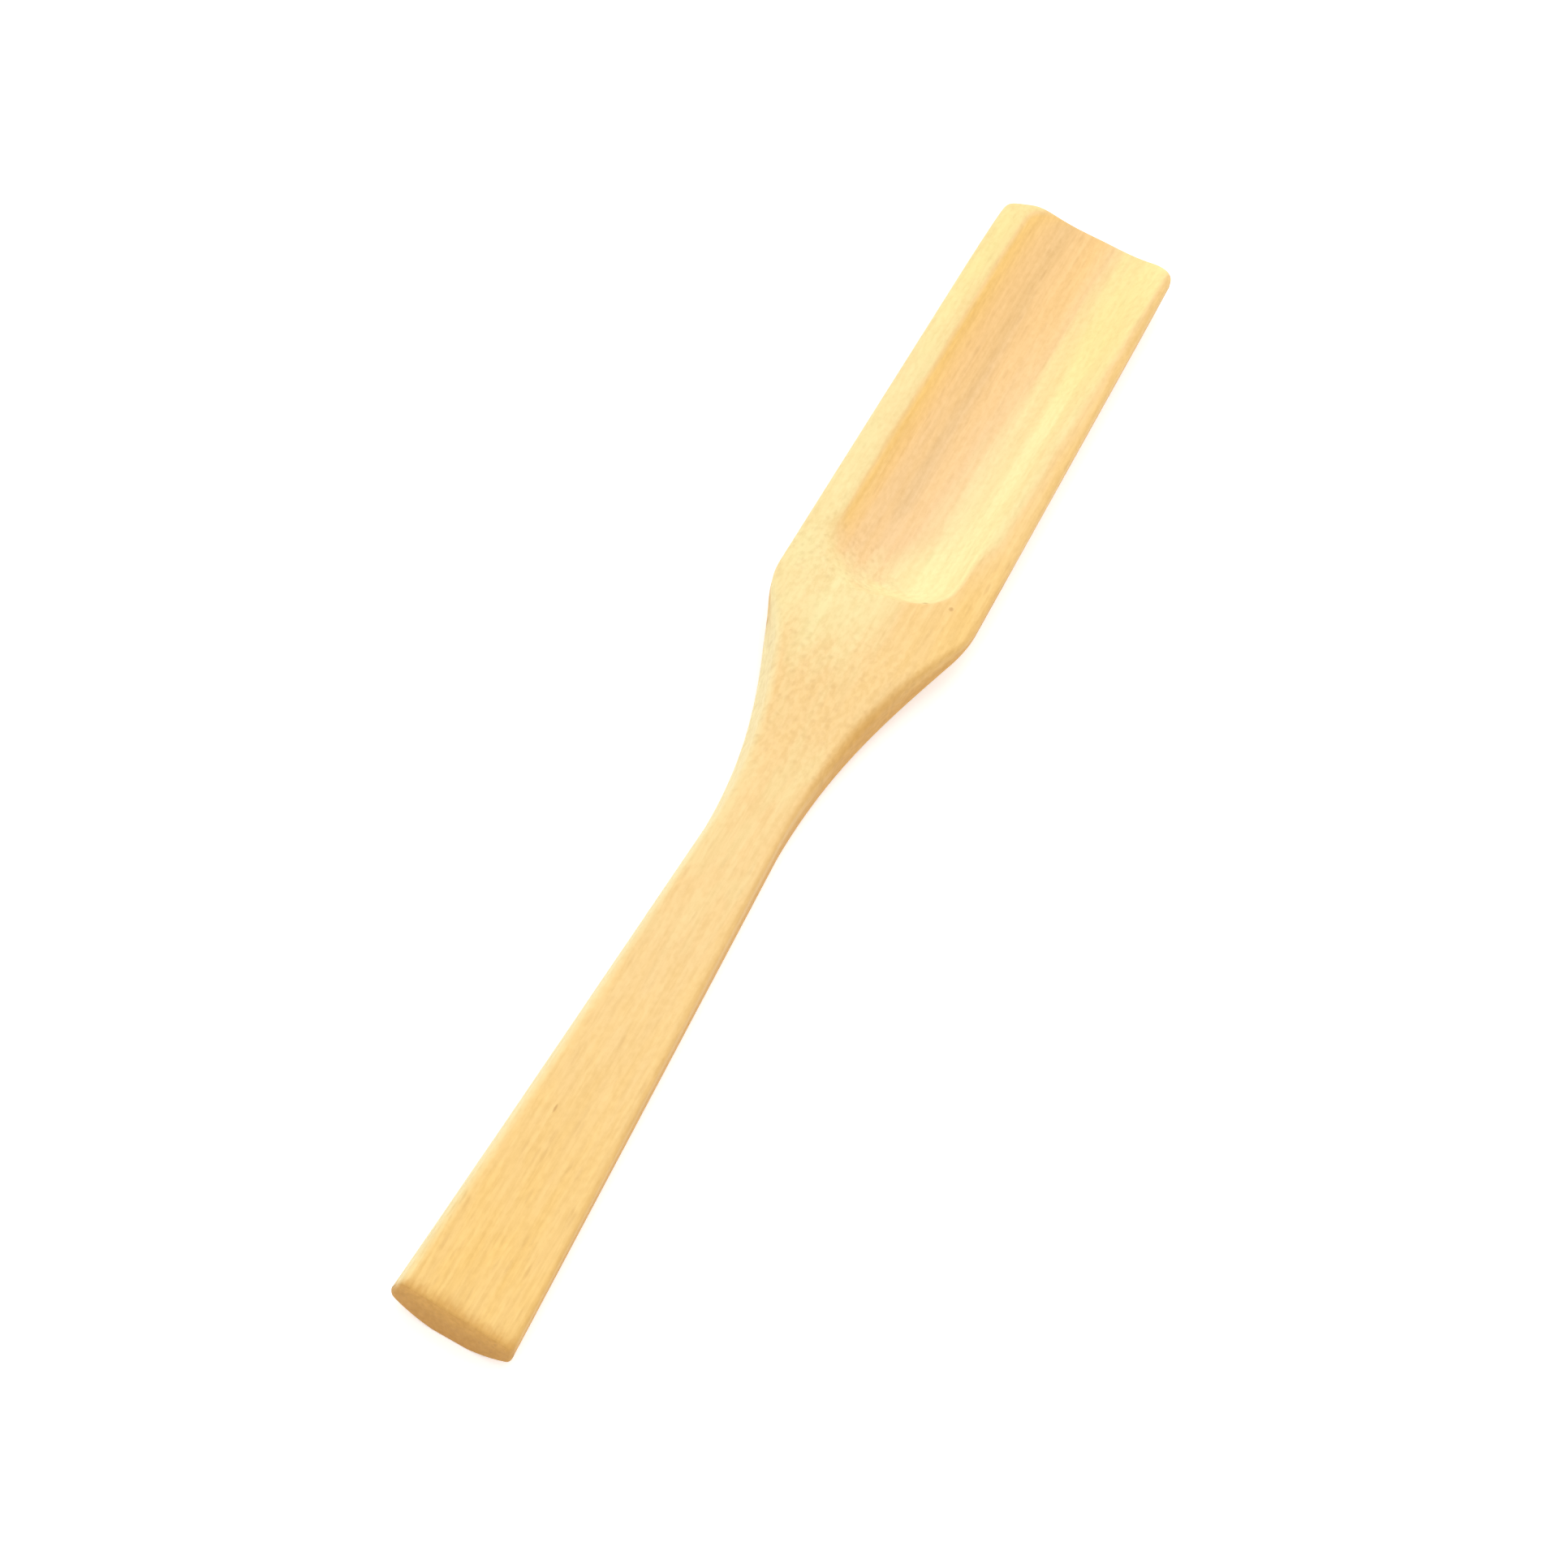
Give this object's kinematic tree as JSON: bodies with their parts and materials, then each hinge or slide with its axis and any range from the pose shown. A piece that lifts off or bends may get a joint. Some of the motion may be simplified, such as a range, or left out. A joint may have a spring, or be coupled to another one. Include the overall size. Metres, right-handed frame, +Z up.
{
  "type": "tea scoop",
  "caption": "Carved bamboo tea scoop in one piece: flat tapered handle, waisted neck and a round-ended trough, open at the tip, for measuring loose tea.",
  "frame": {"origin": "on the resting surface, under the middle of the scoop's bounding box", "axes": "+X from the handle's tail to the tip, +Y to the left seen from the tail, +Z up out of the trough"},
  "size_m": [0.18, 0.0242, 0.007],
  "materials": {
    "bamboo": "sanded smooth, satin, with fine lengthwise fibres"
  },
  "bodies": {
    "root": {"scoop_body": "bamboo"}
  },
  "joints": []
}
